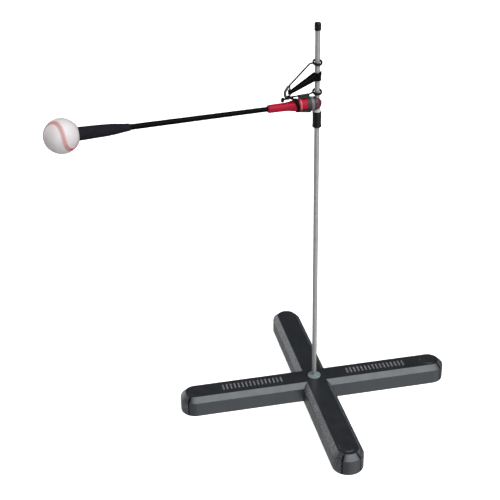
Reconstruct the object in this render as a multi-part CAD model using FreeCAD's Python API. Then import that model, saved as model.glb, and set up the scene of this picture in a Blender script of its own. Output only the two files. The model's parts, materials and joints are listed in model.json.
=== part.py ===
import FreeCAD, Part
import math
import os

# Batting tee: a cross-shaped ballasted base carries a steel pole. A height
# sleeve slides on the pole, a head turns on top of the sleeve, and a sprung
# swing arm with a ball on its end pivots in the head.
# Millimetres, +Z up. The origin is on the pole's axis, on the floor.
# +X runs along the lower base beam and +Y along the upper one.

# ---------------------------------------------------------------- base
LOWER_BEAM_LENGTH = 659.0
UPPER_BEAM_LENGTH = 646.0
BEAM_HEIGHT = 48.0
BEAM_HALF_WIDTH = 35.6
BEAM_CHAMFER = 12.0
BEAM_WALL = 3.0
BEAM_ROUNDING = 3.0
CAVITY_ROUNDING = 1.0
LAP_HEIGHT = BEAM_HEIGHT / 2
LOWER_REACH = LOWER_BEAM_LENGTH / 2 - BEAM_HALF_WIDTH
UPPER_REACH = UPPER_BEAM_LENGTH / 2 - BEAM_HALF_WIDTH
CAP_SETBACK = 4.0
CAP_RADIUS = 18.4
CAP_HEAD_THICKNESS = 3.2
CAP_PROUD = 1.3
BUNG_RADIUS = 14.0
BUNG_DEPTH = 12.0
SEAL_RADIUS = 17.0
SEAL_THICKNESS = 1.2
CAP_GAP = 0.5
DISH_RADIUS = 22.0
DISH_DEPTH = 0.8
BOSS_RADIUS = 13.0
RIB_LENGTH = 19.0
RIB_WIDTH = 3.6
RIB_HEIGHT = 0.9
RIB_PITCH = 9.5
RIB_COUNT = 16
RIB_START = 83.0

# ---------------------------------------------------------------- pole
POLE_RADIUS = 5.5
POLE_WALL = 1.5
POLE_END_WALL = 3.0
POLE_TOP = 916.0
SOCKET_RADIUS = 9.0
SOCKET_FLOOR = 8.0
SOCKET_DEPTH = 30.0
DISC_RADIUS = 15.5
DISC_PROUD = 1.8
POLE_CAP_RADIUS = 7.0
POLE_CAP_BOTTOM = 902.0
POLE_CAP_TOP = 918.5
RUNNING_FIT = 0.05
# Reach of a cut that must pass clean through the head's small parts.
CLEAR = 20.0

# ------------------------------------------------------------ carriage
SLEEVE_RADIUS = 9.4
SLEEVE_BOTTOM = 691.0
SLEEVE_TOP = 726.4
WASHER_RADIUS = 8.6
WASHER_TOP = 728.4

# ---------------------------------------------------------- swing arm
# The arm lies along +X in the head's own drawing and is turned to its azimuth.
ARM_AZIMUTH = 186.1
HUB_Z = 745.5
HUB_RADIUS = 15.2
HUB_POCKET = 10.2
HUB_SPLIT_RADIUS = 12.8
DOME_RADIUS = 14.9
DOME_WALL = 1.4
DOME_CENTRE = 5.3
DOME_BEND = -6.0
NECK_RADIUS = 13.9
BALL_REACH = 542.8
BALL_RADIUS = 36.0
LEATHER = 1.5
ROD_START = 34.0
ROD_END = BALL_REACH + 4.0
ROD_RADIUS_HUB = 4.9
ROD_RADIUS_BALL = 6.4
SLEEVE_END = 111.0
SLEEVE_END_RADIUS = 7.4
# The arm sleeve's outline beyond the strap's seat, as (along the arm, radius).
SLEEVE_CURVE = [(56.0, 11.4), (62.0, 10.2), (71.0, 9.3), (88.0, 8.9), (109.0, 8.4)]
COLLAR_END = 24.5
RING_START = 10.0
RING_END = 16.5
BAND_START = 6.5
FLANGE_START = 37.5
FLANGE_END = 42.0
FLANGE_SEAT = NECK_RADIUS - 1.5
SKIRT_RADIUS = 18.4
SKIRT_END_RADIUS = 15.4
SKIRT_INSIDE = 14.5
SKIRT_DROP = 8.5
SPIGOT_START = 12.0
FERRULE_RADIUS = 8.0
FERRULE_CUP = 3.0
# The foam sleeve's outline, as (along the arm, radius), and its radius at the ball.
FOAM_CURVE = [
    (403.5, 7.4), (414, 8.5), (425, 9.7), (435, 11.0), (445, 11.9), (458, 12.6), (480, 13.2), (505, 13.9),
]
FOAM_EDGE = 13.2
CORE_RADIUS = 7.0
CORE_HALF_HEIGHT = 4.0
CORE_NECK = 6.7
TRUNNION_RADIUS = 2.3
TRUNNION_IN = 6.1
TRUNNION_OUT = 11.6
SLOT_TOP = (-8.2, 6.0)
SLOT_TOP_HALF_WIDTH = 5.9
SLOT_BOTTOM = (-7.5, 9.8)
SLOT_BOTTOM_HALF_WIDTH = 7.4

# -------------------------------------------------------------- head
WIRE_RADIUS = 1.75
# The wire's corners between the eyelets, as (along the arm, height), and its bends.
WIRE_NOSE = [(17.0, 833.2), (65.1, 788.6), (71.9, 779.0), (71.9, 769.2), (66.0, 762.3)]
WIRE_BENDS = [8, 9, 6, 5, 4, 8, 8]
EYELET_RADIUS = 9.1
EYELET_TILT = -20.0
EYELET_COIL = 1.3
UPPER_EYELET_Z = 834.2
LOWER_EYELET_Z = 770.3
NOSE_GRIP_RADIUS = 2.9
PIN_PLACE = 61.3
PIN_RADIUS = 1.5
PIN_BOTTOM = 764.4
PIN_TOP = 791.0
COLLAR_RADIUS = 2.6
COLLAR_THICKNESS = 1.4
COLLAR_GAP = 0.3
LOWER_LEG_START = (58.3, 765.5)
LOWER_LEG_END = (17.5, 767.0)
PAD_TUBE_RADIUS = 2.3
PAD_TUBE_PLACE = (20.0, 43.5)
PAD_PLACE = (18.5, 42.5)
PAD_HALF_WIDTH = 4.5
PAD_GAP = 0.5
PAD_BELOW_WIRE = 1.0
EYE_RADIUS = 4.0
EYE_BOTTOM = 772.5
EYE_TOP = 781.0
FORK_BOTTOM = 795.5
FORK_TOP = 812.5
FORK_RADIUS = 8.8
FORK_CHANNEL = 6.0
FORK_TIP = -6.8
FORK_BACK = -3.5
STRUT_FOOT_RADIUS = 4.1
STRUT_HEAD_RADIUS = 9.2
STRUT_FOOT = (59.8, 776.15)
STRUT_HEAD = (4.0, 804.6)
HORN_FOOT = (-4.6, 6.9, 808.5)
HORN_RADII = (2.4, 1.1)
HORN_LENGTH = 9.0
STRAP_RADIUS = 2.3
STRAP_PLACE = 46.2
STRAP_WIDTH = 6.5
STRAP_SEAT = 12.3
STRAP_THICKNESS = 2.8
KNOB_RADIUS = 3.9
KNOB_PLACE = (77.3, 759.9)
# The strap's tail between band and knob, as (along the arm, across it, height), and its bends.
TAIL_ROUTE = [(53.0, 5.5, 762.4), (61.2, 5.6, 765.2), (69.2, 5.6, 764.4)]
TAIL_BENDS = [7, 12, 10]

Vector = FreeCAD.Vector
ORIGIN = Vector(0, 0, 0)
UP = Vector(0, 0, 1)
ALONG = Vector(1, 0, 0)
ACROSS = Vector(0, 1, 0)
HUB = Vector(0, 0, HUB_Z)


# ------------------------------------------------------------- helpers
def save(node, shape):
    """Write one sub-part that is drawn in the object's own frame."""
    shape.exportStep("parts/" + node + ".step")


def save_on_arm(node, shape):
    """Write one sub-part that is drawn with the arm along +X."""
    turned = shape.copy()
    turned.rotate(ORIGIN, UP, ARM_AZIMUTH)
    save(node, turned)


def outline_edge(run):
    """A straight edge through two points, an arc through three, or a smooth curve."""
    if len(run) == 2:
        return Part.LineSegment(run[0], run[1]).toShape()
    if len(run) == 3:
        return Part.Arc(run[0], run[1], run[2]).toShape()
    curve = Part.BSplineCurve()
    curve.interpolate(run)
    return curve.toShape()


def turned_solid(runs, centre, axis, place):
    """Turn a closed outline, given as runs of (length, radius) points."""
    edges = [outline_edge([place(*point) for point in run]) for run in runs]
    face = Part.Face(Part.Wire(edges))
    return face.revolve(centre, axis, 360)


def corners_to_runs(corners):
    """Straight runs that join the corners of a closed outline."""
    return [[a, b] for a, b in zip(corners, corners[1:] + corners[:1])]


def turned_on_arm(runs):
    """Solid turned on the arm's axis from (distance along, radius) runs.

    The outline stands at 45 degrees, so its seam misses the slots and the bores.
    """
    diagonal = math.sqrt(0.5)

    def place(along, radius):
        return Vector(along, radius * diagonal, HUB_Z + radius * diagonal)

    return turned_solid(runs, HUB, ALONG, place)


def turned_on_pole(corners):
    """Solid turned on the pole's axis from (height, radius) corners."""
    return turned_solid(corners_to_runs(corners), ORIGIN, UP, lambda z, radius: Vector(radius, 0, z))


def ring(inner, outer, bottom, top, centre=(0, 0)):
    """Upright tube between two radii."""
    base = Vector(centre[0], centre[1], bottom)
    outside = Part.makeCylinder(outer, top - bottom, base)
    return outside.cut(Part.makeCylinder(inner, top - bottom, base))


def post(radius, bottom, top, centre=(0, 0)):
    """Upright cylinder."""
    return Part.makeCylinder(radius, top - bottom, Vector(centre[0], centre[1], bottom))


def block(x_range, y_range, z_range):
    """Box between two limits on each axis."""
    corner = Vector(x_range[0], y_range[0], z_range[0])
    size = [high - low for low, high in (x_range, y_range, z_range)]
    return Part.makeBox(size[0], size[1], size[2], corner)


def rounded_wire(corners, radii):
    """Straight runs joined by tangent arcs at the inner corners."""
    edges = []
    start = corners[0]
    for before, corner, after, radius in zip(corners, corners[1:], corners[2:], radii):
        inward = (corner - before).normalize()
        outward = (after - corner).normalize()
        half_turn = inward.getAngle(outward) / 2
        arc_start = corner - inward * (radius * math.tan(half_turn))
        arc_end = corner + outward * (radius * math.tan(half_turn))
        bisector = (outward - inward).normalize()
        middle = corner + bisector * (radius / math.cos(half_turn) - radius)
        edges.append(Part.LineSegment(start, arc_start).toShape())
        edges.append(Part.Arc(arc_start, middle, arc_end).toShape())
        start = arc_end
    edges.append(Part.LineSegment(start, corners[-1]).toShape())
    return Part.Wire(edges)


def tube_along(path, radius):
    """Round bar that follows a path."""
    first = path.Edges[0]
    start = first.valueAt(first.FirstParameter)
    direction = first.tangentAt(first.FirstParameter)
    section = Part.Wire(Part.makeCircle(radius, start, direction))
    return path.makePipeShell([section], True, False)


# ---------------------------------------------------------------- base
def beam_section(inset, rounding):
    """Half of a beam's section, as (height, half width) corners and their radii."""
    half_width = BEAM_HALF_WIDTH - inset
    chamfer = BEAM_CHAMFER - inset * (2 - math.sqrt(2))
    top = BEAM_HEIGHT - inset
    corners = [
        (inset, 0),
        (inset, half_width),
        (top - chamfer, half_width),
        (top, half_width - chamfer),
        (top, 0),
    ]
    return corners, [rounding / 2, rounding, rounding]


def beam_solid(reach, inset, rounding):
    """Beam along X with round ends centred at the reach, all its faces moved in by inset."""
    corners, radii = beam_section(inset, rounding)
    centre_line = Part.LineSegment(Vector(0, 0, corners[-1][0]), Vector(0, 0, inset)).toShape()
    half = rounded_wire([Vector(0, width, z) for z, width in corners], radii)
    half_face = Part.Face(Part.Wire(half.Edges + [centre_line]))
    beam = half_face.revolve(ORIGIN, UP, 360).translated(Vector(reach, 0, 0))
    beam = beam.fuse(half_face.revolve(ORIGIN, UP, 360).translated(Vector(-reach, 0, 0)))
    side = half_face.translated(Vector(-reach, 0, 0)).extrude(ALONG * (2 * reach))
    other_side = side.mirror(ORIGIN, ACROSS)
    return beam.fuse([side, other_side]).removeSplitter()


def cap_cutter(reach):
    """Space that a filler bung takes out of a beam's end."""
    head_floor = BEAM_HEIGHT - CAP_HEAD_THICKNESS + CAP_PROUD
    seal_floor = head_floor - SEAL_THICKNESS
    centre = (reach - CAP_SETBACK, 0)
    counterbore = post(CAP_RADIUS + CAP_GAP, seal_floor, BEAM_HEIGHT, centre)
    throat = post(BUNG_RADIUS + CAP_GAP, seal_floor - BUNG_DEPTH, BEAM_HEIGHT, centre)
    return counterbore.fuse(throat)


def beam_cavity(reach, lap_box):
    """Inside of a hollow beam, clear of the lap, the boss and the filler neck."""
    neck_floor = BEAM_HEIGHT - CAP_HEAD_THICKNESS + CAP_PROUD - SEAL_THICKNESS - BUNG_DEPTH
    cavity = beam_solid(reach, BEAM_WALL, CAVITY_ROUNDING)
    cavity = cavity.cut(lap_box)
    cavity = cavity.cut(post(BOSS_RADIUS, 0, BEAM_HEIGHT))
    neck_radius = CAP_RADIUS + CAP_GAP + BEAM_WALL
    neck = post(neck_radius, neck_floor, BEAM_HEIGHT, (reach - CAP_SETBACK, 0))
    return cavity.cut(neck)


def rib_row(side):
    """Row of low cross ribs on one end of the lower beam's top."""
    ribs = []
    for index in range(RIB_COUNT):
        middle = side * (RIB_START + index * RIB_PITCH)
        x_range = (middle - RIB_WIDTH / 2, middle + RIB_WIDTH / 2)
        y_range = (-RIB_LENGTH / 2, RIB_LENGTH / 2)
        ribs.append(block(x_range, y_range, (BEAM_HEIGHT - 0.5, BEAM_HEIGHT + RIB_HEIGHT)))
    return ribs


def turn_to_y(shape):
    """Turn a beam drawn along X so that its filler end points to -Y."""
    turned = shape.copy()
    turned.rotate(ORIGIN, UP, -90)
    return turned


def make_base():
    """Two lapped hollow beams, their ballast, and the two filler bungs."""
    socket_space = post(SOCKET_RADIUS, SOCKET_FLOOR, BEAM_HEIGHT)
    dish = post(DISH_RADIUS, BEAM_HEIGHT - DISH_DEPTH, BEAM_HEIGHT + RIB_HEIGHT)
    half = BEAM_HALF_WIDTH
    lap = block((-half, half), (-half, half), (0, LAP_HEIGHT))
    walls = half + BEAM_WALL
    upper_lap = block((-walls, walls), (-walls, walls), (0, LAP_HEIGHT + BEAM_WALL))
    lower_lap = block((-walls, walls), (-walls, walls), (LAP_HEIGHT - BEAM_WALL, BEAM_HEIGHT))

    upper_ballast = beam_cavity(UPPER_REACH, upper_lap)
    lower_ballast = beam_cavity(LOWER_REACH, lower_lap)
    upper_outside = turn_to_y(beam_solid(UPPER_REACH, 0, BEAM_ROUNDING).cut(lap))
    upper = upper_outside.cut(turn_to_y(upper_ballast))
    upper = upper.cut(turn_to_y(cap_cutter(UPPER_REACH)))
    upper = upper.cut(socket_space).cut(dish)
    lower = beam_solid(LOWER_REACH, 0, BEAM_ROUNDING)
    lower = lower.fuse(rib_row(-1) + rib_row(1)).removeSplitter()
    lower = lower.cut(upper_outside).cut(lower_ballast)
    lower = lower.cut(cap_cutter(LOWER_REACH)).cut(socket_space)
    save("base_beam_lower", lower)
    save("base_beam_upper", upper)
    save("ballast_lower", lower_ballast)
    save("ballast_upper", turn_to_y(upper_ballast))

    head_floor = BEAM_HEIGHT - CAP_HEAD_THICKNESS + CAP_PROUD
    seal_floor = head_floor - SEAL_THICKNESS
    head_edge = 0.8
    head_top = BEAM_HEIGHT + CAP_PROUD
    cap = turned_on_pole([
        (seal_floor - BUNG_DEPTH + CAP_GAP, 0),
        (seal_floor - BUNG_DEPTH + CAP_GAP, BUNG_RADIUS - 1.0),
        (seal_floor - BUNG_DEPTH + 2.0, BUNG_RADIUS),
        (head_floor, BUNG_RADIUS),
        (head_floor, CAP_RADIUS),
        (head_top - head_edge, CAP_RADIUS),
        (head_top, CAP_RADIUS - head_edge),
        (head_top, 0),
    ])
    seal = ring(BUNG_RADIUS, SEAL_RADIUS, seal_floor, head_floor)
    right = ALONG * (LOWER_REACH - CAP_SETBACK)
    front = ACROSS * (CAP_SETBACK - UPPER_REACH)
    for end, place in (("right", right), ("front", front)):
        save("filler_cap_" + end, cap.translated(place))
        save("filler_seal_" + end, seal.translated(place))


# ---------------------------------------------------------------- pole
def make_pole():
    """Socket in the base, its foot disc, the tubular pole and the end cap."""
    pole_foot = BEAM_HEIGHT - SOCKET_DEPTH
    disc_top = BEAM_HEIGHT + DISC_PROUD
    dish_floor = BEAM_HEIGHT - DISH_DEPTH
    socket = post(SOCKET_RADIUS, SOCKET_FLOOR, dish_floor).cut(post(POLE_RADIUS, pole_foot, dish_floor))
    save("pole_socket", socket)
    disc = turned_on_pole([
        (dish_floor, POLE_RADIUS),
        (dish_floor, DISC_RADIUS),
        (disc_top - 1.0, DISC_RADIUS),
        (disc_top, DISC_RADIUS - 1.0),
        (disc_top, POLE_RADIUS),
    ])
    save("foot_disc", disc)
    pole = post(POLE_RADIUS, pole_foot, POLE_TOP)
    pole = pole.cut(post(POLE_RADIUS - POLE_WALL, pole_foot + POLE_END_WALL, POLE_TOP - POLE_END_WALL))
    save("pole", pole)
    cap = turned_on_pole([
        (POLE_CAP_BOTTOM, POLE_RADIUS),
        (POLE_CAP_BOTTOM, POLE_CAP_RADIUS - 0.4),
        (POLE_CAP_BOTTOM + 0.8, POLE_CAP_RADIUS),
        (POLE_CAP_TOP - 2.2, POLE_CAP_RADIUS),
        (POLE_CAP_TOP - 0.6, POLE_CAP_RADIUS - 1.0),
        (POLE_CAP_TOP, POLE_CAP_RADIUS - 3.0),
        (POLE_CAP_TOP, 0),
        (POLE_TOP, 0),
        (POLE_TOP, POLE_RADIUS),
    ])
    save("pole_cap", cap)


# ------------------------------------------------------------ carriage
def make_carriage():
    """Rubber height sleeve and the slip washer that the head turns on."""
    bore = POLE_RADIUS + RUNNING_FIT
    rim = 0.5
    sleeve = turned_on_pole([
        (SLEEVE_BOTTOM, bore),
        (SLEEVE_BOTTOM, SLEEVE_RADIUS - 1.0),
        (SLEEVE_BOTTOM + 1.5, SLEEVE_RADIUS + rim),
        (SLEEVE_BOTTOM + 4.5, SLEEVE_RADIUS + rim),
        (SLEEVE_BOTTOM + 6.0, SLEEVE_RADIUS),
        (SLEEVE_TOP - 3.0, SLEEVE_RADIUS),
        (SLEEVE_TOP - 2.6, SLEEVE_RADIUS + rim),
        (SLEEVE_TOP - 0.6, SLEEVE_RADIUS + rim),
        (SLEEVE_TOP, SLEEVE_RADIUS + rim - 0.6),
        (SLEEVE_TOP, bore),
    ])
    save("height_sleeve", sleeve)
    save("slip_washer", ring(bore, WASHER_RADIUS, SLEEVE_TOP, WASHER_TOP))


# ---------------------------------------------------------------- head
def make_swivel_core():
    """Bush on the pole inside the hub, with the two trunnion pins."""
    core_bottom = WASHER_TOP + RUNNING_FIT
    bore = POLE_RADIUS + RUNNING_FIT
    core = turned_on_pole([
        (core_bottom, bore),
        (core_bottom, CORE_NECK),
        (HUB_Z - CORE_HALF_HEIGHT, CORE_NECK),
        (HUB_Z - CORE_HALF_HEIGHT, CORE_RADIUS),
        (HUB_Z + CORE_HALF_HEIGHT, CORE_RADIUS),
        (HUB_Z + CORE_HALF_HEIGHT, bore),
    ])
    pins = []
    for side in (-1, 1):
        start = Vector(0, side * TRUNNION_IN, HUB_Z)
        length = TRUNNION_OUT - TRUNNION_IN
        pins.append(Part.makeCylinder(TRUNNION_RADIUS, length, start, ACROSS * side))
    save_on_arm("swivel_core", core.cut(pins))
    save_on_arm("trunnion_pins", Part.makeCompound(pins))


def wire_path():
    """Centre line of the bracket wire, from the upper eyelet to the lower one."""
    lower_leg = [LOWER_LEG_START, LOWER_LEG_END, (EYELET_RADIUS, LOWER_EYELET_Z)]
    places = [(EYELET_RADIUS, UPPER_EYELET_Z)] + WIRE_NOSE + lower_leg
    return rounded_wire([Vector(along, 0, z) for along, z in places], WIRE_BENDS)


def eyelet(height):
    """Two close turns of the wire round the pole, tipped down towards their front."""
    turns = []
    for side in (-1, 1):
        turn = Part.makeTorus(EYELET_RADIUS, WIRE_RADIUS, Vector(0, 0, height + side * EYELET_COIL), UP)
        turn.rotate(Vector(0, 0, height), ALONG, EYELET_TILT)
        turns.append(turn)
    return turns


def make_bracket():
    """Bent wire bracket, its nose grip, the pad tube and the stop pad."""
    path = wire_path()
    wire = tube_along(path, WIRE_RADIUS)
    wire = wire.fuse(eyelet(UPPER_EYELET_Z) + eyelet(LOWER_EYELET_Z))
    save_on_arm("wire_bracket", wire)
    nose = Part.Wire(path.Edges[3:10])
    grip = tube_along(nose, NOSE_GRIP_RADIUS)
    save_on_arm("nose_grip", grip.cut(tube_along(nose, WIRE_RADIUS)))
    leg_start = Vector(LOWER_LEG_START[0], 0, LOWER_LEG_START[1])
    leg_end = Vector(LOWER_LEG_END[0], 0, LOWER_LEG_END[1])
    leg = leg_end - leg_start
    slope = leg.z / leg.x
    tube_start = leg_start + leg * ((PAD_TUBE_PLACE[1] - leg_start.x) / leg.x)
    tube_length = (PAD_TUBE_PLACE[1] - PAD_TUBE_PLACE[0]) * math.hypot(1, slope)
    tube = Part.makeCylinder(PAD_TUBE_RADIUS, tube_length, tube_start, leg)
    save_on_arm("wire_tube", tube.cut(wire))
    pad_bottom = HUB_Z + HUB_RADIUS + PAD_GAP
    pad_top = leg_start.z - PAD_BELOW_WIRE
    pad_outline = [
        Vector(PAD_PLACE[0], -PAD_HALF_WIDTH, pad_bottom),
        Vector(PAD_PLACE[1], -PAD_HALF_WIDTH, pad_bottom),
        Vector(PAD_PLACE[1], -PAD_HALF_WIDTH, pad_top + slope * (PAD_PLACE[1] - leg_start.x)),
        Vector(PAD_PLACE[0], -PAD_HALF_WIDTH, pad_top + slope * (PAD_PLACE[0] - leg_start.x)),
    ]
    pad_face = Part.Face(Part.makePolygon(pad_outline + pad_outline[:1]))
    pad = pad_face.extrude(ACROSS * (2 * PAD_HALF_WIDTH))
    save_on_arm("stop_pad", pad.cut(tube).cut(wire))
    pin = turned_solid(
        corners_to_runs([
            (PIN_BOTTOM, 0),
            (PIN_BOTTOM, PIN_RADIUS),
            (EYE_BOTTOM - COLLAR_GAP - COLLAR_THICKNESS, PIN_RADIUS),
            (EYE_BOTTOM - COLLAR_GAP - COLLAR_THICKNESS, COLLAR_RADIUS),
            (EYE_BOTTOM - COLLAR_GAP, COLLAR_RADIUS),
            (EYE_BOTTOM - COLLAR_GAP, PIN_RADIUS),
            (EYE_TOP + COLLAR_GAP, PIN_RADIUS),
            (EYE_TOP + COLLAR_GAP, COLLAR_RADIUS),
            (EYE_TOP + COLLAR_GAP + COLLAR_THICKNESS, COLLAR_RADIUS),
            (EYE_TOP + COLLAR_GAP + COLLAR_THICKNESS, PIN_RADIUS),
            (PIN_TOP, PIN_RADIUS),
            (PIN_TOP, 0),
        ]),
        Vector(PIN_PLACE, 0, 0),
        UP,
        lambda z, radius: Vector(PIN_PLACE + radius, 0, z),
    )
    save_on_arm("strut_pin", pin.cut([wire, grip]))


def make_strut():
    """Tapered lock strut with an eye on the pin and an open fork on the pole."""
    foot = Vector(STRUT_FOOT[0], 0, STRUT_FOOT[1])
    run = Vector(STRUT_HEAD[0], 0, STRUT_HEAD[1]) - foot
    body = Part.makeCone(STRUT_FOOT_RADIUS, STRUT_HEAD_RADIUS, run.Length, foot, run)
    eye = post(EYE_RADIUS, EYE_BOTTOM, EYE_TOP, (PIN_PLACE, 0))
    fork = post(FORK_RADIUS, FORK_BOTTOM, FORK_TOP)
    horn = Part.makeCone(HORN_RADII[0], HORN_RADII[1], HORN_LENGTH, Vector(*HORN_FOOT), Vector(-0.15, 0, 1))
    strut = body.fuse([eye, fork, horn])
    z_range = (EYE_BOTTOM, FORK_TOP + HORN_LENGTH)
    channel = post(FORK_CHANNEL, z_range[0], z_range[1])
    mouth = block((-FORK_CHANNEL, FORK_CHANNEL), (-CLEAR, 0), z_range)
    behind = block((-CLEAR, 2 * FORK_CHANNEL), (-CLEAR, FORK_BACK), z_range)
    beyond = block((-CLEAR, FORK_TIP), (-CLEAR, CLEAR), z_range)
    pin_hole = post(PIN_RADIUS + RUNNING_FIT, PIN_BOTTOM, PIN_TOP, (PIN_PLACE, 0))
    above_eye = post(COLLAR_RADIUS + COLLAR_GAP, EYE_TOP, PIN_TOP, (PIN_PLACE, 0))
    below_eye = post(COLLAR_RADIUS + COLLAR_GAP, PIN_BOTTOM, EYE_BOTTOM, (PIN_PLACE, 0))
    strut = strut.cut([channel, mouth, behind, beyond, pin_hole, above_eye, below_eye])
    save_on_arm("lock_strut", strut)


def make_strap():
    """Rubber strap: a band round the arm's neck, a tail and a knob."""
    half = STRAP_WIDTH / 2
    outer = STRAP_SEAT + STRAP_THICKNESS
    band = turned_on_arm(corners_to_runs([
        (STRAP_PLACE - half, STRAP_SEAT),
        (STRAP_PLACE - half, outer),
        (STRAP_PLACE + half, outer),
        (STRAP_PLACE + half, STRAP_SEAT),
    ]))
    knob_centre = Vector(KNOB_PLACE[0], 0, KNOB_PLACE[1])
    tail_start = Vector(STRAP_PLACE, 0, HUB_Z + outer - 0.4)
    places = [tail_start] + [Vector(*place) for place in TAIL_ROUTE] + [knob_centre]
    tail = tube_along(rounded_wire(places, TAIL_BENDS), STRAP_RADIUS)
    save_on_arm("strap", band.fuse(tail))
    save_on_arm("strap_knob", Part.makeSphere(KNOB_RADIUS, knob_centre).cut(tail))


# ----------------------------------------------------------- swing arm
def pole_slot():
    """Space for the pole and the core through the hub as the arm tips."""
    above = block(SLOT_TOP, (-SLOT_TOP_HALF_WIDTH, SLOT_TOP_HALF_WIDTH), (HUB_Z, HUB_Z + CLEAR))
    below = block(SLOT_BOTTOM, (-SLOT_BOTTOM_HALF_WIDTH, SLOT_BOTTOM_HALF_WIDTH), (HUB_Z - CLEAR, HUB_Z))
    return above.fuse(below)


def dome_radius(along, radius):
    """Radius from the arm's axis of a dome's surface at a distance along the arm."""
    return math.sqrt(radius**2 - (along - DOME_CENTRE) ** 2)


def make_hub():
    """Dark hub body with its light ring, and the red domed end cap."""
    bore_length = TRUNNION_OUT + 0.2
    bore_radius = TRUNNION_RADIUS + RUNNING_FIT
    bores = [Part.makeCylinder(bore_radius, bore_length, HUB, ACROSS * side) for side in (-1, 1)]
    openings = [pole_slot()] + bores
    under_ring = HUB_RADIUS - 1.0
    body = turned_on_arm(corners_to_runs([
        (0, HUB_POCKET),
        (0, HUB_SPLIT_RADIUS),
        (BAND_START, HUB_SPLIT_RADIUS),
        (BAND_START, HUB_RADIUS - 0.6),
        (RING_START, HUB_RADIUS - 0.4),
        (RING_START, under_ring),
        (RING_END, under_ring),
        (RING_END, HUB_RADIUS - 0.1),
        (COLLAR_END, HUB_RADIUS - 0.1),
        (COLLAR_END, HUB_POCKET),
    ]))
    skirt = turned_on_arm(corners_to_runs([
        (RING_END, SKIRT_INSIDE),
        (RING_END, SKIRT_RADIUS - 1.5),
        (RING_END + 1.5, SKIRT_RADIUS),
        (FLANGE_END - 1.0, SKIRT_END_RADIUS + 0.2),
        (FLANGE_END, SKIRT_END_RADIUS - 0.6),
        (FLANGE_END, SKIRT_INSIDE),
    ]))
    above_skirt = block((0, FLANGE_END), (-CLEAR, CLEAR), (HUB_Z - SKIRT_DROP, HUB_Z + CLEAR))
    body = body.fuse(skirt.cut(above_skirt))
    save_on_arm("hub_body", body.cut(openings))
    light_ring = turned_on_arm(corners_to_runs([
        (RING_START, under_ring),
        (RING_START, HUB_RADIUS - 0.3),
        (RING_START + 0.8, HUB_RADIUS + 0.2),
        (RING_END - 0.8, HUB_RADIUS + 0.2),
        (RING_END, HUB_RADIUS - 0.3),
        (RING_END, under_ring),
    ]))
    save_on_arm("hub_ring", light_ring.cut(openings))
    inside = DOME_RADIUS - DOME_WALL
    tip = DOME_CENTRE - DOME_RADIUS
    pocket_tip = DOME_CENTRE - inside
    pocket_side = DOME_CENTRE - math.sqrt(inside**2 - HUB_POCKET**2)
    pocket_bend = (DOME_BEND, dome_radius(DOME_BEND, inside))
    shoulder = (DOME_BEND, dome_radius(DOME_BEND, DOME_RADIUS))
    rim = (BAND_START, dome_radius(BAND_START, DOME_RADIUS))
    end_cap = turned_on_arm([
        [(BAND_START, HUB_SPLIT_RADIUS), (0, HUB_SPLIT_RADIUS)],
        [(0, HUB_SPLIT_RADIUS), (0, HUB_POCKET)],
        [(0, HUB_POCKET), (pocket_side, HUB_POCKET)],
        [(pocket_side, HUB_POCKET), pocket_bend, (pocket_tip, 0)],
        [(pocket_tip, 0), (tip, 0)],
        [(tip, 0), shoulder, rim],
        [rim, (BAND_START, HUB_SPLIT_RADIUS)],
    ])
    save_on_arm("hub_end_cap", end_cap.cut(openings))


def rod_radius(along):
    """Radius of the tapered rod at a distance along the arm."""
    share = (along - ROD_START) / (ROD_END - ROD_START)
    return ROD_RADIUS_HUB + share * (ROD_RADIUS_BALL - ROD_RADIUS_HUB)


def make_arm():
    """Red arm sleeve with its flange ring, and the springy rod."""
    half = STRAP_WIDTH / 2
    sleeve = turned_on_arm([
        [(SPIGOT_START, 0), (SPIGOT_START, HUB_POCKET)],
        [(SPIGOT_START, HUB_POCKET), (COLLAR_END, HUB_POCKET)],
        [(COLLAR_END, HUB_POCKET), (COLLAR_END, NECK_RADIUS)],
        [(COLLAR_END, NECK_RADIUS), (FLANGE_START, NECK_RADIUS - 0.3)],
        [(FLANGE_START, NECK_RADIUS - 0.3), (FLANGE_START, FLANGE_SEAT)],
        [(FLANGE_START, FLANGE_SEAT), (FLANGE_END, FLANGE_SEAT)],
        [(FLANGE_END, FLANGE_SEAT), (STRAP_PLACE - half, STRAP_SEAT)],
        [(STRAP_PLACE - half, STRAP_SEAT), (STRAP_PLACE + half, STRAP_SEAT)],
        [(STRAP_PLACE + half, STRAP_SEAT)] + SLEEVE_CURVE,
        [SLEEVE_CURVE[-1], (SLEEVE_END, SLEEVE_END_RADIUS)],
        [(SLEEVE_END, SLEEVE_END_RADIUS), (SLEEVE_END, 0)],
        [(SLEEVE_END, 0), (SPIGOT_START, 0)],
    ])
    flange = turned_on_arm(corners_to_runs([
        (FLANGE_START, FLANGE_SEAT),
        (FLANGE_START, NECK_RADIUS),
        (FLANGE_START + 1.0, NECK_RADIUS + 0.4),
        (FLANGE_END - 1.0, NECK_RADIUS + 0.4),
        (FLANGE_END, NECK_RADIUS - 0.4),
        (FLANGE_END, FLANGE_SEAT),
    ]))
    rod = turned_on_arm(corners_to_runs([
        (ROD_START, 0),
        (ROD_START, ROD_RADIUS_HUB),
        (ROD_END, ROD_RADIUS_BALL),
        (ROD_END, 0),
    ]))
    save_on_arm("arm_sleeve", sleeve.cut(rod))
    save_on_arm("flange_ring", flange)
    save_on_arm("rod", rod)


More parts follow.
